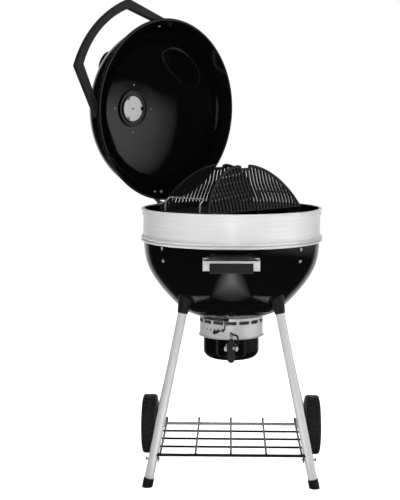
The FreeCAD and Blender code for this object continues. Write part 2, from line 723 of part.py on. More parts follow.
def tyre(side):
    r, w = WHEEL_R, WHEEL_W
    points = [(70, 6), (88, 0.5), (r - 4, 3), (r, 9), (r, w - 9), (r - 4, w - 3), (88, w - 0.5), (70, w - 6)]
    body = wheel_solid(points, side)
    blocks = 30
    low = WHEEL_R - 3.5
    x0, x1 = sorted((side * (WHEEL_IN - 1), side * (WHEEL_IN + w / 2 - 3)))
    x2, x3 = sorted((side * (WHEEL_IN + w / 2 + 3), side * (WHEEL_IN + w + 1)))
    grooves = []
    for i in range(blocks):
        for n, (a, b) in enumerate(((x0, x1), (x2, x3))):
            groove = Part.makeBox(b - a, 6, 9, V(a, AXLE_Y - 3, WHEEL_R + low))
            turn = 360.0 / blocks * (i + 0.5 * n)
            groove.rotate(V(0, AXLE_Y, WHEEL_R), V(1, 0, 0), turn)
            grooves.append(groove)
    return body.cut(Part.makeCompound(grooves))


def hub(side):
    w = WHEEL_W
    rim = [(60, 4), (70, 6), (70, w - 6), (60, w - 4)]
    web = [(14, w / 2 - 3), (62, w / 2 - 3), (62, w / 2 + 3), (14, w / 2 + 3)]
    core = [(AXLE_R + FIT, 0), (16, 0), (16, w - 9), (AXLE_R + FIT, w - 9)]
    body = fuse([wheel_solid(p, side) for p in (rim, web, core)])
    holes = []
    centre = V(side * (WHEEL_IN + w / 2), AXLE_Y, WHEEL_R)
    for i in range(6):
        a = math.radians(60 * i)
        p = centre + V(0, 38 * math.cos(a), 38 * math.sin(a))
        holes.append(cylinder(13, p - V(20, 0, 0), p + V(20, 0, 0)))
    return body.cut(Part.makeCompound(holes))


# --- grates ----------------------------------------------------------------------------------
GRATE_Z = RIM_Z - GRATE_TOP - GRATE_T / 2
PIVOT_R = 4.0
EAR_OFFSET = (-8.0, 0.0, 8.0)     # ears in the gaps between bars, in bar pitches


def grate_slab(x0, x1, radius, t=GRATE_T):
    """The part of a disc between two lines across it."""
    disc = Part.makeCylinder(radius, t, V(0, 0, GRATE_Z - t / 2))
    return disc.common(box((x0, -400, GRATE_Z - t), (x1, 400, GRATE_Z + t)))


def grate_bars(x0, x1):
    """Straight bars along X at the bar pitch, cut to the disc."""
    count = int(GRATE_R / BAR_PITCH)
    bars = []
    for i in range(-count, count + 1):
        y = BAR_PITCH * (i + 0.5)
        half = math.sqrt(max((GRATE_R - 2) ** 2 - (abs(y) + BAR_W / 2) ** 2, 0.0))
        a, b = max(x0, -half), min(x1, half)
        if b - a > 4:
            bars.append(box((a, y - BAR_W / 2, GRATE_Z - GRATE_T / 2), (b, y + BAR_W / 2, GRATE_Z + GRATE_T / 2)))
    return bars


def pivot_ears(side):
    """Bearing ears that carry a flap's hinge bar, on the centre casting."""
    ears = []
    for k in EAR_OFFSET:
        y = BAR_PITCH * k
        arm = box((88, y - 3, GRATE_Z - 4), (FLAP_PIVOT, y + 3, GRATE_Z + 4))
        c0, c1 = V(FLAP_PIVOT, y - 3, GRATE_Z), V(FLAP_PIVOT, y + 3, GRATE_Z)
        ear = arm.fuse(cylinder(PIVOT_R + 3.5, c0, c1)).cut(cylinder(PIVOT_R + FIT, c0 - V(0, 1, 0), c1 + V(0, 1, 0)))
        ears.append(ear if side > 0 else turned(ear, 180))
    return ears


def grate_centre():
    x = FLAP_PIVOT - 9
    frame = grate_slab(-x, x, GRATE_R).cut(grate_slab(-x + 8, x - 8, GRATE_R - BORDER, GRATE_T * 2))
    bars = grate_bars(-x + 1, x - 1)
    spine = box((-4, -GRATE_R + 4, GRATE_Z - 4), (4, GRATE_R - 4, GRATE_Z + 4))
    body = fuse([frame, spine] + bars + pivot_ears(1) + pivot_ears(-1))
    return turned(body.cut(wire_handle_feet()), GRATE_AZ)


def wire_handle_path(side):
    t, lean, half = 236.0, 19.5, 73.0
    low, knee, top = GRATE_Z - 5, RIM_Z + 26, RIM_Z + 40
    pts = [V(half, side * t, low), V(half, side * t, knee), V(half, side * (t - lean), top)]
    return pts + [V(-p.x, p.y, p.z) for p in reversed(pts)]


def wire_handle_feet():
    return Part.makeCompound([cylinder(2.6, V(x, s * 236, GRATE_Z - 9), V(x, s * 236, GRATE_Z + 9))
                              for x in (-73, 73) for s in (-1, 1)])


def grate_handles():
    return turned(group([rod(wire_handle_path(s), 2.5, 6.0) for s in (-1, 1)]), GRATE_AZ)


def flap_flat():
    """A side flap lying flat on the +X side, before it is turned up."""
    start = FLAP_PIVOT
    frame = grate_slab(start, 400, GRATE_R).cut(grate_slab(start + 4, 400, GRATE_R - BORDER, GRATE_T * 2))
    half = math.sqrt(GRATE_R ** 2 - (start + 2) ** 2) - 3
    hinge_bar = cylinder(PIVOT_R, V(start, -half, GRATE_Z), V(start, half, GRATE_Z))
    body = fuse([frame, hinge_bar] + grate_bars(start, GRATE_R))
    width, depth = NOTCH
    notch = box((GRATE_R - depth, -width / 2, 0), (GRATE_R + 9, width / 2, 2000))
    bridge = box((GRATE_R - depth - BORDER, -width / 2 - 7, GRATE_Z - 4),
                 (GRATE_R - depth, width / 2 + 7, GRATE_Z + 4))
    body = body.cut(notch).fuse(bridge)
    room = []
    for k in EAR_OFFSET:
        y = BAR_PITCH * k
        c0, c1 = V(start, y - 4, GRATE_Z), V(start, y + 4, GRATE_Z)
        keep = cylinder(PIVOT_R, c0, c1)
        room.append(cylinder(PIVOT_R + 5, c0, c1).cut(keep))
    return body.cut(Part.makeCompound(room)).removeSplitter()


def grate_flap(side):
    flap = flap_flat()
    flap.rotate(V(FLAP_PIVOT, 0, GRATE_Z), V(0, 1, 0), -FLAP_OPEN)
    return turned(flap, GRATE_AZ if side > 0 else GRATE_AZ + 180)


def charcoal_grate():
    z = RIM_Z - COAL_DEPTH + 3.0 + GAP
    pieces = [torus(COAL_R - 3, 3.0, z)]
    pitch = 26.0
    count = int(COAL_R / pitch)
    for i in range(-count, count + 1):
        half = math.sqrt((COAL_R - 3) ** 2 - (pitch * i) ** 2)
        pieces.append(cylinder(2.5, V(-half, pitch * i, z + 3), V(half, pitch * i, z + 3)))
    for x in (-120, 120):
        half = math.sqrt((COAL_R - 3) ** 2 - x ** 2)
        pieces.append(cylinder(2.5, V(x, -half, z - 0.5), V(x, half, z - 0.5)))
    return fuse(pieces)


# --- lid, drawn closed about the axis with z = 0 at its lower edge ------------------------------
LID_SOLID = plug(LID_OUT, 0.0)
LID_VOID = plug(LID_IN, 0.0)
VENT_Z = LID_CONE_H + LID_DOME_H - WALL      # inner face at the top of the dome
VENT_HOLES = (27.0, 42.0)
CAP_POST_R = 88.0
GAUGE_R = 248.0
GAUGE_H = 145.0
GAUGE_TILT = 45.0           # the dial's normal above the horizontal
LID_HANDLE_Z = 34.0
LID_HANDLE_TILT = 8.0


def opened(shape):
    """Put a lid piece, drawn closed at its own height, into its open place."""
    s = shape.copy()
    s.translate(V(0, 0, RIM_Z - LID_SKIRT))
    s.rotate(polar(HINGE_R, HINGE_AZ, HINGE_Z), polar(1, HINGE_AZ + 90), LID_OPEN)
    return s


def dome_point(az, h):
    return surface_point(LID_OUT, az, h)


def gauge_axis():
    return dome_point(-90.0, GAUGE_H)


def handle_screw_places():
    """Screws from inside the lid into the ends of its handle."""
    for az in (-90 - 43.5, -90 + 43.5):
        at, n = dome_point(az, 50.0)
        yield at - n * (WALL + NUT_GAP), n * -1, WALL + 14.0


def arm_bolt_places():
    """Bolts from inside the lid through the hinge arm's base."""
    for az in (-3.0, 3.0):
        at, n = dome_point(HINGE_AZ + az, 52.0)
        yield at - n * (WALL + NUT_GAP), n * -1, WALL + 4.0 + 2 * NUT_GAP


def rivet_places():
    for i in range(4):
        r = CAP_POST_R
        at, n = dome_point(45.5 + 90 * i, lid_height(r))
        yield at, n


def lid_height(r):
    """Height of the dome's outside over the lid's edge, at a radius."""
    return LID_CONE_H + LID_DOME_H * (1 - (r / LID_R) ** LID_DOME_POWER) ** (1 / LID_DOME_POWER)


def lid_shell():
    cone = lathe([(LID_CONE_R - WALL, 0), (LID_CONE_R, 0), (LID_R, LID_CONE_H), (LID_R - WALL, LID_CONE_H)])
    bead = torus(LID_CONE_R + 1.5, LID_BEAD_R, LID_BEAD_R)
    room = lathe([(0, -1), (LID_CONE_R - WALL, -1), (LID_CONE_R - WALL, 0), (LID_R - WALL, LID_CONE_H),
                  (0, LID_CONE_H)])
    shell = cone.fuse(bead).cut(room).fuse(strip(LID_OUT, LID_IN)).removeSplitter()
    places = [*handle_screw_places(), *arm_bolt_places()]
    cutters = [cylinder(HOLE, at + n * 9, at - n * 9) for at, n, _ in places]
    cutters += [cylinder(2.6, at + n * 9, at - n * 9) for at, n in rivet_places()]
    at, n = gauge_axis()
    cutters.append(cylinder(5.0, at - n * 12, at + n * 12))
    inner, outer = VENT_HOLES
    slot = Part.makeCylinder(outer, 30, V(0, 0, VENT_Z - 15), V(0, 0, 1), 30)
    slot = slot.cut(Part.makeCylinder(inner, 30, V(0, 0, VENT_Z - 15)))
    cutters += [turned(slot, 30 + 120 * i) for i in range(3)]
    cutters.append(Part.makeCylinder(3.0 + FIT, 30, V(0, 0, VENT_Z - 15)))
    return opened(shell.cut(Part.makeCompound(cutters)))


def lid_handle():
    """Two straight arms and a bowed grip in one tilted plane, on pads against the dome."""
    t = 20.0
    y0 = -196.0
    left = [V(-228, y0, 0), V(-159, -361, 0)]
    inner = [V(-196, y0 - 8, 0), V(-131, -341, 0)]
    grip_out = Part.Arc(V(-159, -361, 0), V(0, -395, 0), V(159, -361, 0)).toShape()
    grip_in = Part.Arc(V(-131, -341, 0), V(0, -369, 0), V(131, -341, 0)).toShape()
    flip = [V(-p.x, p.y, 0) for p in left]
    flip_in = [V(-p.x, p.y, 0) for p in inner]
    runs = [(left[0], left[1]), (inner[0], inner[1]), (flip[0], flip[1]), (flip_in[0], flip_in[1]),
            (left[0], inner[0]), (flip[0], flip_in[0])]
    edges = [Part.LineSegment(a, b).toShape() for a, b in runs] + [grip_out, grip_in]
    bar = Part.Face(Part.Wire(Part.__sortEdges__(edges))).extrude(V(0, 0, t))
    bar = bar.makeFillet(6.0, [e for e in bar.Edges if e.BoundBox.ZLength < 0.01 and e.Length > 100])
    bar.rotate(V(0, y0, 0), V(1, 0, 0), -LID_HANDLE_TILT)
    bar.translate(V(0, 0, LID_HANDLE_Z - t / 2))
    skin = plug(parallel(LID_OUT, -6.0), 0.0).cut(LID_SOLID)
    pads = []
    for s in (-1, 1):
        at, n = dome_point(-90 + s * 43.5, 46.0)
        pads.append(skin.common(cylinder(24.0, at - n * 20, at + n * 20)))
    edge = LID_CONE_R + 6.0
    room = lathe([(0, -99), (edge, -99), (edge, 10), (LID_R + 0.2, LID_CONE_H), (0, LID_CONE_H)])
    body = fuse([bar.cut(LID_SOLID)] + pads).cut(room)
    drills = [cylinder(HOLE, at + n * 9, at - n * 18) for at, n, _ in handle_screw_places()]
    return opened(body.cut(Part.makeCompound(drills)))


def lid_hinge_arm():
    """A base on the skirt and two ears round the hinge pin."""
    z = RIM_Z - LID_SKIRT
    skin = plug(parallel(LID_OUT, -4.0), 0.0).cut(LID_SOLID)
    base = skin.common(turned(box((200, -30, 34), (320, 30, 68)), HINGE_AZ))
    hz = HINGE_Z - z
    shape = [(LID_R - 4, 66), (LID_R + 10, 60), (HINGE_R + BARREL_R - 1, hz + 2), (HINGE_R - 4, hz - 2),
             (LID_CONE_R + 9, hz + 6), (LID_CONE_R + 3, 14), (LID_R + 1, 36), (LID_R - 4, 38)]
    ears = []
    for s in (-1, 1):
        ear = hinge_ear(s * ARM_EAR_AT, [(r, h + z) for r, h in shape], PIN_R + FIT)
        ear.translate(V(0, 0, -z))
        ears.append(ear)
    cone = lathe([(0, -9), (LID_CONE_R + 6, -9), (LID_CONE_R + 6, 9), (LID_R + 0.1, LID_CONE_H), (0, LID_CONE_H)])
    arm = fuse([base] + ears).cut(LID_SOLID).cut(cone)
    drills = [cylinder(HOLE, at + n * 9, at - n * 18) for at, n, _ in arm_bolt_places()]
    return opened(arm.cut(Part.makeCompound(drills)))


def lid_bolts():
    screws = [bolt(at, n, wall, nut=0.0) for at, n, wall in handle_screw_places()]
    return opened(group(screws + [bolt(at, n, wall) for at, n, wall in arm_bolt_places()]))


def vent_ring():
    """The raised dark ring round the vent, inside the lid."""
    ring = lathe([(45.5, VENT_Z - 9), (63, VENT_Z - 9), (63, VENT_Z + 20), (45.5, VENT_Z + 20)])
    groove = lathe([(49, VENT_Z - 12), (59.5, VENT_Z - 12), (59.5, VENT_Z - 5), (49, VENT_Z - 5)])
    return opened(ring.cut(groove).common(LID_VOID))


def vent_disc():
    """The bright disc with three notches that opens and closes the vent."""
    z = VENT_Z - 4.0
    disc = Part.makeCylinder(44.0, 1.2, V(0, 0, z))
    notches = []
    for i in range(3):
        c = polar(41.0, 45 + 120 * i, z - 2)
        notches.append(Part.makeCylinder(6.5, 6, c))
    return opened(disc.cut(Part.makeCompound(notches)).cut(Part.makeCylinder(3.0, 9, V(0, 0, z - 4))))


def vent_spindle():
    head = Part.makeSphere(5.0, V(0, 0, VENT_Z - 2.5)).common(box((-9, -9, VENT_Z - 9), (9, 9, VENT_Z - 4)))
    return opened(fuse([Part.makeCylinder(3.0, 38, V(0, 0, VENT_Z - 6)), head]))


def vent_knob():
    z = VENT_Z + 27.5
    knob = lathe([(3.0, z), (13, z), (16, z + 4), (16, z + 12), (12, z + 16), (0, z + 16), (0, z + 4.5), (3.0, z + 4.5)])
    return opened(knob)


def vent_cap():
    """A shallow bright cap over the vent on four posts."""
    z = VENT_Z + 22.0
    cap = lathe([(3.0 + FIT, z + 3), (60, z + 1), (97, z - 9), (97, z - 7), (60, z + 3), (3.0 + FIT, z + 5)])
    posts = [cylinder(4.5, V(at.x, at.y, at.z - 2), V(at.x, at.y, z - 5.5)) for at, _ in rivet_places()]
    bores = [cylinder(2.0, at - n * 9, at + n * 8) for at, n in rivet_places()]
    return opened(fuse([cap] + posts).cut(LID_SOLID).cut(Part.makeCompound(bores)))


def cap_rivets():
    rivets = []
    for at, n in rivet_places():
        inner = at - n * (WALL + 0.1)
        head = Part.makeSphere(3.6, inner).common(cylinder(9, inner - n * 9, inner))
        rivets.append(fuse([cylinder(2.0, inner, at + n * 8), head]))
    return opened(group(rivets))


def gauge_turned(points):
    """Turn (radius, height) pairs about the thermometer's axis, height from the dome's surface."""
    at, n = gauge_axis()
    solid = lathe(points)
    turn = FreeCAD.Rotation(V(0, 0, 1), n)
    solid.Placement = FreeCAD.Placement(at, turn).multiply(solid.Placement)
    return solid


def gauge_bezel():
    cup = [(0, 1), (30, 1), (36, 3.5), (36, 11), (34, 12.5), (32, 12.5), (32, 10.4), (30, 10.4), (30, 5), (0, 5)]
    base = [(5.0, -12), (12.0, -12), (12.0, 3), (5.0, 3)]
    body = fuse([gauge_turned(cup), gauge_turned(base)])
    return opened(body.cut(LID_SOLID).cut(gauge_turned([(0, -30), (4.0, -30), (4.0, 5.5), (0, 5.5)])))


def gauge_dial():
    return opened(gauge_turned([(1.0 + FIT, 5), (29.5, 5), (29.5, 6), (1.0 + FIT, 6)]))


def gauge_needle():
    at, n = gauge_axis()
    needle = fuse([box((-1.2, -8, 6.6), (1.2, 24, 7.4)), Part.makeCylinder(3.0, 1.6, V(0, 0, 6.6)),
                   Part.makeCylinder(1.0, 2.0, V(0, 0, 5.2))])
    turn = FreeCAD.Rotation(V(0, 0, 1), n)
    needle.Placement = FreeCAD.Placement(at, turn)
    return opened(needle)


def gauge_glass():
    return opened(gauge_turned([(0, 10.5), (31.5, 10.5), (31.5, 12), (0, 12)]))


def gauge_stem():
    """The sensing stem with its nut inside the lid."""
    stem = gauge_turned([(0, -62), (1.5, -62), (3.0, -59), (3.0, 3), (4.0, 3), (4.0, 4.8), (0, 4.8)])
    nut = gauge_turned([(3.0, -12), (10, -12), (10, 0), (3.0, 0)]).common(LID_VOID)
    return opened(fuse([stem, nut]))


def gauge_guard():
    """A bent strip inside the lid that shields the stem."""
    at, n = gauge_axis()
    strip_ = box((-40, -11, -16), (40, 11, -14.5))
    legs = [box((s * 39 - 1.5, -11, -16), (s * 39 + 1.5, 11, 20)) for s in (-1, 1)]
    guard = fuse([strip_] + legs)
    turn = FreeCAD.Rotation(V(0, 0, 1), n)
    guard.Placement = FreeCAD.Placement(at, turn)
    guard = guard.common(LID_VOID).cut(gauge_turned([(0, -40), (3.2, -40), (3.2, 20), (0, 20)]))
    return opened(guard)


def parts():
    """Every piece by name, about the kettle's axis."""
    made = {
        "bowl_shell": bowl_shell(), "rim_band": rim_band(), "grate_brackets": grate_brackets(),
        "bowl_bolts": bowl_bolts(), "bowl_handle_bracket": bowl_handle_bracket(),
        "bowl_handle_grip": bowl_handle_grip(), "bowl_handle_shield": bowl_handle_shield(),
        "hinge_bracket": hinge_bracket(), "hinge_pin": hinge_pin(),
        "ash_vent_ring": ash_ring(), "ash_ring_tabs": ring_tabs(), "catch_loop": catch_loop(),
        "shelf_rack": shelf(), "shelf_clamps": shelf_clamps(), "shelf_screws": shelf_screws(),
        "axle": axle(), "axle_caps": axle_caps(),
        "cleaning_blades": cleaning_blades(), "damper_lever": damper_lever(), "damper_knob": damper_knob(),
        "ash_bowl": ash_bowl(), "ash_handle": ash_handle(), "ash_handle_plate": ash_handle_plate(),
        "latch_pin": latch_pin(), "latch_hook": latch_hook(),
        "grate_centre": grate_centre(), "grate_handles": grate_handles(),
        "grate_flap_rear": grate_flap(1), "grate_flap_front": grate_flap(-1),
        "charcoal_grate": charcoal_grate(),
        "lid_shell": lid_shell(), "lid_handle": lid_handle(), "lid_hinge_arm": lid_hinge_arm(),
        "lid_bolts": lid_bolts(), "vent_ring": vent_ring(), "vent_disc": vent_disc(),
        "vent_spindle": vent_spindle(), "vent_knob": vent_knob(), "vent_cap": vent_cap(),
        "vent_cap_rivets": cap_rivets(), "gauge_bezel": gauge_bezel(), "gauge_dial": gauge_dial(),
        "gauge_needle": gauge_needle(), "gauge_glass": gauge_glass(), "gauge_stem": gauge_stem(),
        "gauge_guard": gauge_guard(),
    }
    for side, hand in ((-1, "left"), (1, "right")):
        made["front_foot_" + hand] = foot(side)
        made["wheel_tyre_" + hand] = tyre(side)
        made["wheel_hub_" + hand] = hub(side)
        made["leg_front_" + hand] = front_leg(side)
        made["leg_rear_" + hand] = rear_leg(side)
        for front, place in ((-1, "front"), (1, "rear")):
            made["leg_socket_" + place + "_" + hand] = socket(side, front)
    return made


def main():
    os.makedirs("parts", exist_ok=True)
    for name, shape in parts().items():
        shape.translate(V(AXIS_X, AXIS_Y, 0))
        shape.exportStep("parts/" + name + ".step")
        print(name, len(shape.Solids), round(shape.Volume), shape.isValid())


main()
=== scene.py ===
import json
import math

import bmesh
import bpy
from mathutils import Matrix, Vector


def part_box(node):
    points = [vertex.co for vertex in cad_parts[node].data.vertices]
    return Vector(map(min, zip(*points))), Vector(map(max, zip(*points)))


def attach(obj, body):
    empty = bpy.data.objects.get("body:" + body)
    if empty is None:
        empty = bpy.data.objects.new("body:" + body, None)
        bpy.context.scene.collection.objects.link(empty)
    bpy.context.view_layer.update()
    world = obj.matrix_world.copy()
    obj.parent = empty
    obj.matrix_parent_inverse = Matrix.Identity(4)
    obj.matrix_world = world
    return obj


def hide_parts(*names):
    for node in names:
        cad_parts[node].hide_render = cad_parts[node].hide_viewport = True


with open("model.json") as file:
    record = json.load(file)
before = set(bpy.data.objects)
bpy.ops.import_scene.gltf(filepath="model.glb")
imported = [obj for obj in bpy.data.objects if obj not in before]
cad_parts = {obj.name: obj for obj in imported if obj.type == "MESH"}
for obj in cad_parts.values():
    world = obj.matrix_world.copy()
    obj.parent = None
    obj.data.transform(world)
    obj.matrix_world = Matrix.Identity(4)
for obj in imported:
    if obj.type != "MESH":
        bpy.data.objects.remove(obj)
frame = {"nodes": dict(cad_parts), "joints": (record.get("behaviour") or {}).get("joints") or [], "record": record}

NODES = frame["nodes"]
JOINT = {j["name"]: j for j in frame["joints"]}
BODY_OF = {n: body for body, names in frame["record"]["behaviour"]["bodies"].items() for n in names}
SLOT_OF = {s["node"]: s["material_slot"] for s in frame["record"]["subparts"]}
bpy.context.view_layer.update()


def middle(node):
    low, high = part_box(node)
    return (low + high) / 2


AXIS = middle("rim_band")               # the kettle's axis, at floor level
AXIS.z = 0.0


# --- materials ---------------------------------------------------------------------------------
def new_material(name):
    """An empty node material, its node tree and its shader."""
    material = bpy.data.materials.new(name)
    material.use_nodes = True
    tree = material.node_tree
    return material, tree, tree.nodes["Principled BSDF"]


def add(tree, kind, **values):
    """Add a node, and set its inputs or properties by name."""
    node = tree.nodes.new(kind)
    for key, value in values.items():
        if key in node.inputs:
            node.inputs[key].default_value = value
        else:
            setattr(node, key, value)
    return node


def noise(tree, scale, stretch=(1, 1, 1), detail=3.0):
    """Noise in object coordinates, stretched along an axis."""
    where = add(tree, "ShaderNodeTexCoord")
    mapping = add(tree, "ShaderNodeMapping", Scale=stretch)
    texture = add(tree, "ShaderNodeTexNoise", Scale=scale, Detail=detail)
    tree.links.new(where.outputs["Object"], mapping.inputs["Vector"])
    tree.links.new(mapping.outputs["Vector"], texture.inputs["Vector"])
    return texture.outputs["Fac"]


def remap(tree, source, low, high, out_low, out_high):
    node = add(tree, "ShaderNodeMapRange")
    node.inputs["From Min"].default_value = low
    node.inputs["From Max"].default_value = high
    node.inputs["To Min"].default_value = out_low
    node.inputs["To Max"].default_value = out_high
    tree.links.new(source, node.inputs["Value"])
    return node.outputs["Result"]


def combine(tree, operation, a, b):
    node = add(tree, "ShaderNodeMath", operation=operation)
    tree.links.new(a, node.inputs[0])
    tree.links.new(b, node.inputs[1])
    return node.outputs["Value"]


def roughness(tree, shader, source, low, high, smooth, rough):
    """Let the noise between two levels move the roughness between two values."""
    tree.links.new(remap(tree, source, low, high, smooth, rough), shader.inputs["Roughness"])


def bump(tree, shader, height, strength, distance):
    node = add(tree, "ShaderNodeBump", Strength=strength, Distance=distance)
    tree.links.new(height, node.inputs["Height"])
    tree.links.new(node.outputs["Normal"], shader.inputs["Normal"])


def tinted(tree, shader, factor, dark, light):
    ramp = add(tree, "ShaderNodeMix", data_type="RGBA")
    ramp.inputs["A"].default_value = (*dark, 1)
    ramp.inputs["B"].default_value = (*light, 1)
    tree.links.new(factor, ramp.inputs["Factor"])
    tree.links.new(ramp.outputs["Result"], shader.inputs["Base Color"])


def enamel(name, rough):
    """Black vitreous enamel: deep gloss, a faint orange-peel and a little dust in the gloss."""
    material, tree, shader = new_material(name)
    shader.inputs["Coat Weight"].default_value = 0.5
    shader.inputs["Coat Roughness"].default_value = 0.03
    cloud = noise(tree, 9.0, detail=5.0)
    tinted(tree, shader, cloud, (0.0008, 0.0008, 0.0009), (0.0018, 0.0018, 0.0020))
    roughness(tree, shader, noise(tree, 60.0, detail=4.0), 0.3, 0.8, rough, rough + 0.06)
    bump(tree, shader, noise(tree, 140.0, detail=1.0), 0.04, 0.0006)
    return material


def steel(name, stretch, colour, rough, metal=0.6, grain=500.0, round_axis=False):
    """Brushed stainless: fine streaks along the brushing and slow changes of tone.

    The scratches scatter part of the light in all directions, so it isn't a full metal.
    """
    material, tree, shader = new_material(name)
    shader.inputs["Metallic"].default_value = metal
    streak = noise(tree, grain, stretch, detail=2.0)
    slow = noise(tree, 5.0, detail=1.0)
    dark = tuple(c * 0.90 for c in colour)
    tinted(tree, shader, remap(tree, streak, 0.35, 0.65, 0.0, 1.0), dark, colour)
    roughness(tree, shader, slow, 0.3, 0.7, rough - 0.02, rough + 0.03)
    bump(tree, shader, streak, 0.03, 0.0001)
    if round_axis:
        tangent = add(tree, "ShaderNodeTangent", direction_type="RADIAL", axis="Z")
        tree.links.new(tangent.outputs["Tangent"], shader.inputs["Tangent"])
        shader.inputs["Anisotropic"].default_value = 0.75
        shader.inputs["Anisotropic Rotation"].default_value = 0.25
    return material


def chrome():
    """Plated wire and bolts, a little dulled."""
    material, tree, shader = new_material("chrome_wire")
    shader.inputs["Metallic"].default_value = 0.75
    cloud = noise(tree, 40.0)
    tinted(tree, shader, cloud, (0.62 * 0.93,) * 3, (0.62,) * 3)
    roughness(tree, shader, cloud, 0.3, 0.7, 0.14, 0.21)
    return material


def painted_wire():
    """Glossy black coating on steel wire, slightly uneven."""
    material, tree, shader = new_material("black_wire")
    cloud = noise(tree, 50.0)
    tinted(tree, shader, cloud, (0.006, 0.006, 0.007), (0.013, 0.013, 0.014))
    roughness(tree, shader, cloud, 0.3, 0.7, 0.16, 0.28)
    bump(tree, shader, noise(tree, 500.0), 0.08, 0.0002)
    return material


def plastic(name, tone, rough, grain=900.0, height=0.12):
    """Moulded nylon with a fine spark-eroded grain and slightly shinier worn patches."""
    material, tree, shader = new_material(name)
    slow = noise(tree, 18.0)
    light = tone * 1.5
    tinted(tree, shader, slow, (tone,) * 3, (light, light, light * 1.02))
    roughness(tree, shader, slow, 0.3, 0.7, rough - 0.05, rough + 0.08)
    bump(tree, shader, noise(tree, grain), height, 0.0003)
    return material


def iron():
    """Cast iron under black enamel: a grainy, softly shining skin."""
    material, tree, shader = new_material("grate_iron")
    fine = noise(tree, 420.0, detail=4.0)
    tinted(tree, shader, noise(tree, 25.0), (0.0035, 0.0035, 0.0035), (0.009, 0.0088, 0.0085))
    roughness(tree, shader, fine, 0.3, 0.7, 0.24, 0.46)
    bump(tree, shader, fine, 0.30, 0.0006)
    return material


def lens():
    """The thermometer's glass."""
    material, tree, shader = new_material("gauge_lens")
    shader.inputs["Transmission Weight"].default_value = 1.0
    shader.inputs["Roughness"].default_value = 0.02
    shader.inputs["IOR"].default_value = 1.45
    tinted(tree, shader, noise(tree, 30.0), (0.93, 0.94, 0.94), (1.0, 1.0, 1.0))
    return material


def dial():
    """The thermometer's white painted face."""
    material, tree, shader = new_material("dial_white")
    tinted(tree, shader, noise(tree, 60.0), (0.78, 0.78, 0.77), (0.84, 0.84, 0.83))
    shader.inputs["Roughness"].default_value = 0.5
    return material


ROUND = (0.012, 0.012, 1.0)     # streaks that run round the kettle
ALONG = (1.0, 1.0, 0.012)       # streaks that run up a leg
BRIGHT = (0.80, 0.80, 0.80)
DARKENED = (0.26, 0.26, 0.255)
MATERIALS = {
    "black_enamel": enamel("black_enamel", 0.06),
    "band_steel": steel("band_steel", ROUND, BRIGHT, 0.42, metal=0.45, round_axis=True),
    "ring_steel": steel("ring_steel", ROUND, BRIGHT, 0.34, metal=0.62, round_axis=True),
    "bright_steel": steel("bright_steel", ALONG, BRIGHT, 0.40, grain=900.0),
    "bracket_steel": steel("bracket_steel", ROUND, DARKENED, 0.34, metal=0.9),
    "chrome_wire": chrome(),
    "black_wire": painted_wire(),
    "grate_iron": iron(),
    "vent_black": enamel("vent_black", 0.25),
    "handle_black": plastic("handle_black", 0.008, 0.46),
    "socket_black": plastic("socket_black", 0.006, 0.30),
    "wheel_black": plastic("wheel_black", 0.008, 0.50, 500.0, 0.25),
    "dial_white": dial(),
    "gauge_lens": lens(),
}
OWN = {                         # nodes whose look differs from the rest of their slot
    "rim_band": "band_steel", "ash_vent_ring": "ring_steel",
    "gauge_guard": "vent_black", "gauge_stem": "vent_black",
}


def paint(obj, material):
    obj.data.materials.clear()
    obj.data.materials.append(MATERIALS[material])


def paint_nodes():
    for node, obj in NODES.items():
        paint(obj, OWN.get(node, SLOT_OF[node]))
        obj.data.shade_smooth()


# --- polished pieces: the CAD solids with their edges softened -----------------------------------
WELD = 2e-6
FLAT_ANGLE = math.radians(0.5)          # faces this close to one plane are joined
EDGE_ANGLE = math.radians(32.0)         # edges sharper than this are bevelled
SOFT_EDGES = {
    "lid_handle": 0.0025, "bowl_handle_grip": 0.0018, "bowl_handle_shield": 0.0008,
    "ash_handle": 0.0008, "leg_socket_front_left": 0.0012, "leg_socket_front_right": 0.0012,
    "leg_socket_rear_left": 0.0012, "leg_socket_rear_right": 0.0012, "front_foot_left": 0.0015,
    "front_foot_right": 0.0015, "vent_knob": 0.0010, "wheel_tyre_left": 0.0008,
    "wheel_tyre_right": 0.0008, "wheel_hub_left": 0.0010, "wheel_hub_right": 0.0010,
    "bowl_handle_bracket": 0.0005, "hinge_bracket": 0.0008, "lid_hinge_arm": 0.0006,
    "ash_handle_plate": 0.0005, "axle_caps": 0.0010, "damper_knob": 0.0006,
}
SHELF_EDGE = 0.0002
SHELF_COAT = 0.0009                     # thickness of the shelf's black coating


def polished(node, width, segments=2):
    """A welded copy of a CAD node with small bevels on its sharp edges."""
    mesh = bpy.data.meshes.new(node + "_soft")
    bm = bmesh.new()
    bm.from_mesh(NODES[node].data)
    bmesh.ops.remove_doubles(bm, verts=bm.verts, dist=WELD)
    bmesh.ops.dissolve_limit(bm, angle_limit=FLAT_ANGLE, verts=bm.verts, edges=bm.edges)
    for face in bm.faces:
        face.smooth = True
    bm.to_mesh(mesh)
    bm.free()
    piece = bpy.data.objects.new(node + "_soft", mesh)
    bpy.context.scene.collection.objects.link(piece)
    bevel = piece.modifiers.new("bevel", "BEVEL")
    bevel.width = width
    bevel.segments = segments
    bevel.limit_method = "ANGLE"
    bevel.angle_limit = EDGE_ANGLE
    bevel.harden_normals = True
    paint(piece, OWN.get(node, SLOT_OF[node]))
    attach(piece, BODY_OF[node])
    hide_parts(node)
    return piece


def coated_shelf():
    """The wire shelf, grown by the thickness of its coating."""
    piece = polished("shelf_rack", SHELF_EDGE, segments=1)
    coat = piece.modifiers.new("coat", "DISPLACE")
    coat.strength = SHELF_COAT
    coat.mid_level = 0.0


# --- pieces drawn here ---------------------------------------------------------------------------
SHARP = math.radians(40.0)


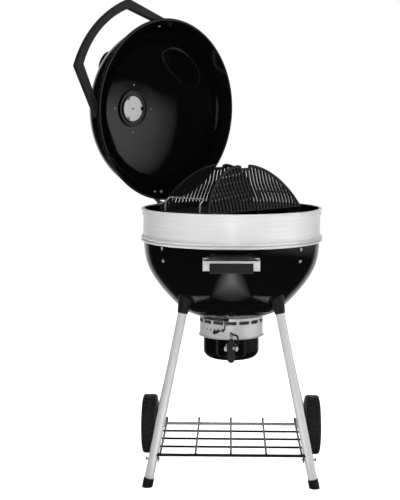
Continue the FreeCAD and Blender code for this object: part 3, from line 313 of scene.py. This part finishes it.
def finished(name, bm, node, material, stands_for=True):
    """Make a mesh piece on a CAD node's body, painted with the given material, in the node's place or beside it.
    """
    bmesh.ops.recalc_face_normals(bm, faces=bm.faces)
    for face in bm.faces:
        face.smooth = True
    mesh = bpy.data.meshes.new(name)
    bm.to_mesh(mesh)
    bm.free()
    mesh.set_sharp_from_angle(angle=SHARP)
    piece = bpy.data.objects.new(name, mesh)
    bpy.context.scene.collection.objects.link(piece)
    paint(piece, material)
    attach(piece, BODY_OF[node])
    if stands_for:
        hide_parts(node)


def circle(radius, count):
    """A round section, as (across, up) pairs."""
    angles = [2 * math.pi / count * k for k in range(count)]
    return [(radius * math.cos(a), radius * math.sin(a)) for a in angles]


def cast_section(w, h):
    """A casting's section: narrow foot, full sides and a rounded top, as (across, up) pairs."""
    side = [(0.36, -0.5), (0.5, -0.2), (0.5, 0.2), (0.42, 0.40), (0.25, 0.5)]
    pairs = side + [(-a, u) for a, u in reversed(side)]
    return [(a * w, u * h) for a, u in pairs]


def sweep(bm, path, section):
    """Carry a section along a path in the XY plane, with flat ends."""
    rings = []
    for i, p in enumerate(path):
        before, after = path[max(i - 1, 0)], path[min(i + 1, len(path) - 1)]
        across = Vector((0, 0, 1)).cross(after - before).normalized()
        rings.append([bm.verts.new(p + across * a + Vector((0, 0, u))) for a, u in section])
    n = len(section)
    for a, b in zip(rings, rings[1:]):
        for k in range(n):
            bm.faces.new((a[k], a[(k + 1) % n], b[(k + 1) % n], b[k]))
    bm.faces.new(list(reversed(rings[0])))
    bm.faces.new(rings[-1])


def arc(radius, start, end, steps):
    angles = [start + (end - start) * i / steps for i in range(steps + 1)]
    return [Vector((radius * math.cos(a), radius * math.sin(a), 0)) for a in angles]


def straight(a, b):
    return [Vector((*a, 0)), Vector((*b, 0))]


# --- cooking grate: wavy cast bars ---------------------------------------------------------------
GRATE_Z = middle("grate_centre").z
GRATE_R = 0.257
BAR_H = 0.008
BAR_W = 0.0085
BAR_PITCH = 0.0165
BORDER_W = 0.009
BORDER_R = GRATE_R - BORDER_W / 2       # middle line of the border
FLAP_BORDER = 0.95                      # heights, as shares of the full height: a flap's border,
BAR_LOW = 0.94                          # the wavy bars
CROSS_LOW = 0.9                         # and the straight bar across them
WAVE = 0.0032                           # how far a bar swings to each side
WAVE_LENGTH = 0.110
WAVE_STEP = 0.007                       # a bar's points along its length
SHORTEST_BAR = 0.012
NOTCH_HALF = 0.0225                     # half the width of a flap's finger notch
NOTCH_X = GRATE_R - 0.0175              # its floor, from the middle of the grate
NOTCH_LEAD = 0.006                      # where the border turns in, beside the notch
PIVOT = JOINT["rear_flap_fold"]["pos_m"]
PIVOT_R = (Vector(PIVOT[:2]) - AXIS.xy).length
GRATE_TURN = math.atan2(PIVOT[1] - AXIS.y, PIVOT[0] - AXIS.x)
FLAP_UP = math.radians(JOINT["rear_flap_fold"]["range_deg"][1])
PIVOT_BAR_R = 0.004
PIVOT_BAR_INSET = (0.002, 0.003)        # room left at the bar's side and at its ends
SIDE_X = PIVOT_R - 0.0135               # middle of the centre section's straight sides
EAR_R = 0.0075
EAR_HALF = 0.003
EAR_ARM = (0.006, 0.0078)               # width and height
EAR_SINK = 0.001                        # how far an arm goes into the side bar
EAR_BARS = (-8, 0, 8)                   # ears in the gaps between bars, in bar pitches


def wavy_bars(bm, x0, x1, notched=False):
    """Bars along X from x0 to x1, inside the grate's circle, each swinging gently in Y."""
    count = int(GRATE_R / BAR_PITCH)
    for i in range(-count, count + 1):
        y = BAR_PITCH * (i + 0.5)
        if abs(y) > BORDER_R - BAR_W:
            continue
        half = math.sqrt(BORDER_R ** 2 - y ** 2)
        a, b = max(x0, -half), min(x1, half)
        if notched and abs(y) < NOTCH_HALF:
            b = min(b, NOTCH_X)
        if b - a < SHORTEST_BAR:
            continue
        steps = max(3, int((b - a) / WAVE_STEP))
        xs = [a + (b - a) * k / steps for k in range(steps + 1)]
        path = [Vector((x, y + WAVE * math.sin(2 * math.pi * x / WAVE_LENGTH), 0)) for x in xs]
        sweep(bm, path, cast_section(BAR_W, BAR_H * BAR_LOW))


def grate_place(turn):
    """From the grate's own flat axes to its place, turned about the kettle."""
    return Matrix.Translation((AXIS.x, AXIS.y, GRATE_Z)) @ Matrix.Rotation(turn, 4, "Z")


def build_grate_flap(node, turn):
    """One folding side of the grate, drawn flat and then folded up about its pivot bar."""
    bm = bmesh.new()
    border = cast_section(BORDER_W, BAR_H * FLAP_BORDER)
    limit = math.acos((PIVOT_R + PIVOT_BAR_R) / BORDER_R)
    start = math.asin((NOTCH_HALF + NOTCH_LEAD) / BORDER_R)
    for side in (-1, 1):
        end = Vector((NOTCH_X, side * NOTCH_HALF, 0))
        sweep(bm, arc(BORDER_R, side * limit, side * start, 40) + [end], border)
    sweep(bm, straight((NOTCH_X, -NOTCH_HALF), (NOTCH_X, NOTCH_HALF)), border)
    wavy_bars(bm, PIVOT_R, GRATE_R, notched=True)
    half = math.sqrt(GRATE_R ** 2 - (PIVOT_R + PIVOT_BAR_INSET[0]) ** 2) - PIVOT_BAR_INSET[1]
    sweep(bm, straight((PIVOT_R, -half), (PIVOT_R, half)), circle(PIVOT_BAR_R, 16))
    at = Matrix.Translation((PIVOT_R, 0, 0))
    lift = at @ Matrix.Rotation(-FLAP_UP, 4, "Y") @ at.inverted()
    bm.transform(grate_place(turn) @ lift)
    finished(node + "_cast", bm, node, "grate_iron")


def build_grate_centre():
    """The fixed middle of the grate with the ears that hold the flaps' pivot bars."""
    bm = bmesh.new()
    border = cast_section(BORDER_W, BAR_H)
    start = math.acos(SIDE_X / BORDER_R)
    half = math.sqrt(BORDER_R ** 2 - SIDE_X ** 2)
    for s in (-1, 1):
        sweep(bm, arc(BORDER_R, s * start, s * (math.pi - start), 60), border)
        sweep(bm, straight((s * SIDE_X, -half), (s * SIDE_X, half)), border)
    wavy_bars(bm, -SIDE_X, SIDE_X)
    sweep(bm, straight((0, -BORDER_R), (0, BORDER_R)), cast_section(BAR_W, BAR_H * CROSS_LOW))
    arm = cast_section(*EAR_ARM)
    for side in (-1, 1):
        for k in EAR_BARS:
            y = BAR_PITCH * k * side
            x = side * PIVOT_R
            sweep(bm, straight((side * (SIDE_X - EAR_SINK), y), (x, y)), arm)
            sweep(bm, straight((x, y - EAR_HALF), (x, y + EAR_HALF)), circle(EAR_R, 20))
    bm.transform(grate_place(GRATE_TURN))
    finished("grate_centre_cast", bm, "grate_centre", "grate_iron")


# --- small details on the ash ring and the ash catcher -------------------------------------------
TICK_HEIGHTS = (0.011, 0.009, 0.007, 0.005, 0.003)
TICK_START = math.radians(14.0)         # from the front, to the left
TICK_STEP = math.radians(8.0)
TICK_UP = 0.029                         # above the ring's lower edge
TICK_THICK = 0.0004
TICK_WIDE = 0.0045
LUG_OUT = 0.0175                        # a lug's middle, to each side of the handle
LUG_HALF = (0.0052, 0.0045, 0.0085)
LUG_FORWARD = 0.001                     # in front of the ash catcher
LUG_DOWN = 0.004                        # below the middle of the handle's plate


def build_ring_ticks():
    """Plain printed bars, shorter step by step, that show which way the vent opens."""
    low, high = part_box("ash_vent_ring")
    out = Matrix.Translation(((high.x - low.x) / 2, 0, 0))
    centre = Matrix.Translation((AXIS.x, AXIS.y, low.z + TICK_UP))
    bm = bmesh.new()
    for i, height in enumerate(TICK_HEIGHTS):
        a = -math.pi / 2 - TICK_START - TICK_STEP * i
        size = Matrix.Diagonal((TICK_THICK, TICK_WIDE, height, 1.0))
        bmesh.ops.create_cube(bm, size=1.0, matrix=centre @ Matrix.Rotation(a, 4, "Z") @ out @ size)
    finished("ring_ticks", bm, "ash_vent_ring", "handle_black", stands_for=False)


def build_ash_lugs():
    """Two oval lugs of the bright bracket, one at each side of the black handle."""
    plate = middle("ash_handle_plate")
    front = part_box("ash_bowl")[0].y
    size = Matrix.Diagonal((*LUG_HALF, 1.0))
    bm = bmesh.new()
    for side in (-1, 1):
        at = (plate.x + side * LUG_OUT, front - LUG_FORWARD, plate.z - LUG_DOWN)
        place = Matrix.Translation(at)
        bmesh.ops.create_uvsphere(bm, u_segments=28, v_segments=16, radius=1.0, matrix=place @ size)
    finished("ash_lugs", bm, "ash_handle_plate", "bright_steel", stands_for=False)


# --- floor, light and camera ---------------------------------------------------------------------
FLOOR_SIZE = 30.0
FLOOR_GLOW = 0.92
ENV_FRONT = 0.012               # what reflections see in front, behind and to the right
ENV_BACK = 0.95
ENV_RIGHT = 0.70
LAMPS = (                       # name, place from the axis, target, size in metres, watts
    ("overhead", (0, 0.4, 4.4), (0, 0, 0), (5.0, 4.0), 150),
    ("key", (0, -3.2, 3.6), (0, 0, 0.8), (2.6, 1.4), 35),
    ("front", (0, -4.8, 1.3), (0, 0, 0.8), (0.9, 2.4), 175),
)
SIDE_LAMPS = (
    ("left", (-4.0, -1.5, 2.0), (0, 0, 0.7), (2.0, 3.0), 10),
    ("right", (4.0, -1.0, 2.2), (0, 0, 0.7), (2.0, 3.0), 14),
)
GLOW_STEPS = 10                 # nested lamps at the floor, whose reflection fades to the sides
GLOW_Y = -0.85
GLOW_WIDTH = 0.46
GLOW_WATTS = 0.26
SENSOR = 36.0
FOCAL = 2.216                   # focal length in image heights
CAMERA_BACK = 3.6
CAMERA_Z = 1.1575
AIM = Vector((-0.103, 0.0, 0.739))


def build_floor():
    bpy.ops.mesh.primitive_grid_add(
        x_subdivisions=4, y_subdivisions=4, size=FLOOR_SIZE, location=(AXIS.x, AXIS.y, 0.0))
    floor = bpy.context.object
    floor.name = "studio_floor"
    material, tree, shader = new_material("studio_floor")
    tinted(tree, shader, noise(tree, 2.0), (0.90, 0.90, 0.90), (0.93, 0.93, 0.93))
    shader.inputs["Roughness"].default_value = 0.9
    shader.inputs["Emission Color"].default_value = (1, 1, 1, 1)
    shader.inputs["Emission Strength"].default_value = FLOOR_GLOW
    floor.data.materials.append(material)
    floor.visible_glossy = False


def build_world():
    """White backdrop for the camera.

    Reflections see it behind the grill, a softer glow to the right and a dark studio in front.
    """
    world = bpy.data.worlds.new("studio")
    bpy.context.scene.world = world
    world.use_nodes = True
    tree = world.node_tree
    where = tree.nodes.new("ShaderNodeTexCoord")
    split = tree.nodes.new("ShaderNodeSeparateXYZ")
    tree.links.new(where.outputs["Generated"], split.inputs["Vector"])
    behind = remap(tree, split.outputs["Y"], 0.70, 1.0, 0.0, ENV_BACK)
    right = remap(tree, split.outputs["X"], 0.60, 1.0, 0.0, ENV_RIGHT)
    above = remap(tree, split.outputs["Z"], -0.25, 0.0, 0.0, 1.0)
    sides = combine(tree, "MAXIMUM", behind, combine(tree, "MULTIPLY", right, above))
    level = remap(tree, sides, 0.0, 1.0, ENV_FRONT, 1.0)
    path = tree.nodes.new("ShaderNodeLightPath")
    mix = add(tree, "ShaderNodeMix", data_type="RGBA")
    mix.inputs["B"].default_value = (1, 1, 1, 1)
    tree.links.new(path.outputs["Is Camera Ray"], mix.inputs["Factor"])
    tree.links.new(level, mix.inputs["A"])
    tree.links.new(mix.outputs["Result"], tree.nodes["Background"].inputs["Color"])


def area_light(name, place, target, size, power, mirrored=False):
    """A soft rectangular lamp at a place from the kettle's axis, aimed at a point on it."""
    data = bpy.data.lights.new(name, "AREA")
    data.shape = "RECTANGLE"
    data.size, data.size_y = size
    data.energy = power
    lamp = bpy.data.objects.new(name, data)
    lamp.location = AXIS + Vector(place)
    aim = AXIS + Vector(target) - lamp.location
    lamp.rotation_euler = aim.to_track_quat("-Z", "Y").to_euler()
    lamp.visible_camera = False
    lamp.visible_glossy = mirrored
    bpy.context.scene.collection.objects.link(lamp)


def build_lights():
    for lamp in LAMPS:
        area_light(*lamp)
    for i in range(GLOW_STEPS):
        share = (i + 1) / GLOW_STEPS
        place = (0.0, GLOW_Y, 0.010 + 0.002 * i)
        size = (GLOW_WIDTH * share, 0.4 + 0.9 * share)
        area_light(f"glow_{i}", place, (0.0, GLOW_Y, 1.0), size, GLOW_WATTS * share, mirrored=True)
    for lamp in SIDE_LAMPS:
        area_light(*lamp)


def build_camera():
    data = bpy.data.cameras.new("camera")
    data.sensor_width = SENSOR
    data.lens = FOCAL * SENSOR
    camera = bpy.data.objects.new("camera", data)
    camera.location = AXIS + Vector((0, -CAMERA_BACK, CAMERA_Z))
    aim = AXIS + AIM - camera.location
    camera.rotation_euler = aim.to_track_quat("-Z", "Y").to_euler()
    bpy.context.scene.collection.objects.link(camera)
    bpy.context.scene.camera = camera


paint_nodes()
for node, width in SOFT_EDGES.items():
    polished(node, width)
coated_shelf()
build_grate_centre()
build_grate_flap("grate_flap_rear", GRATE_TURN)
build_grate_flap("grate_flap_front", GRATE_TURN + math.pi)
build_ring_ticks()
build_ash_lugs()
build_floor()
build_world()
build_lights()
build_camera()
bpy.context.scene.view_settings.view_transform = "Standard"
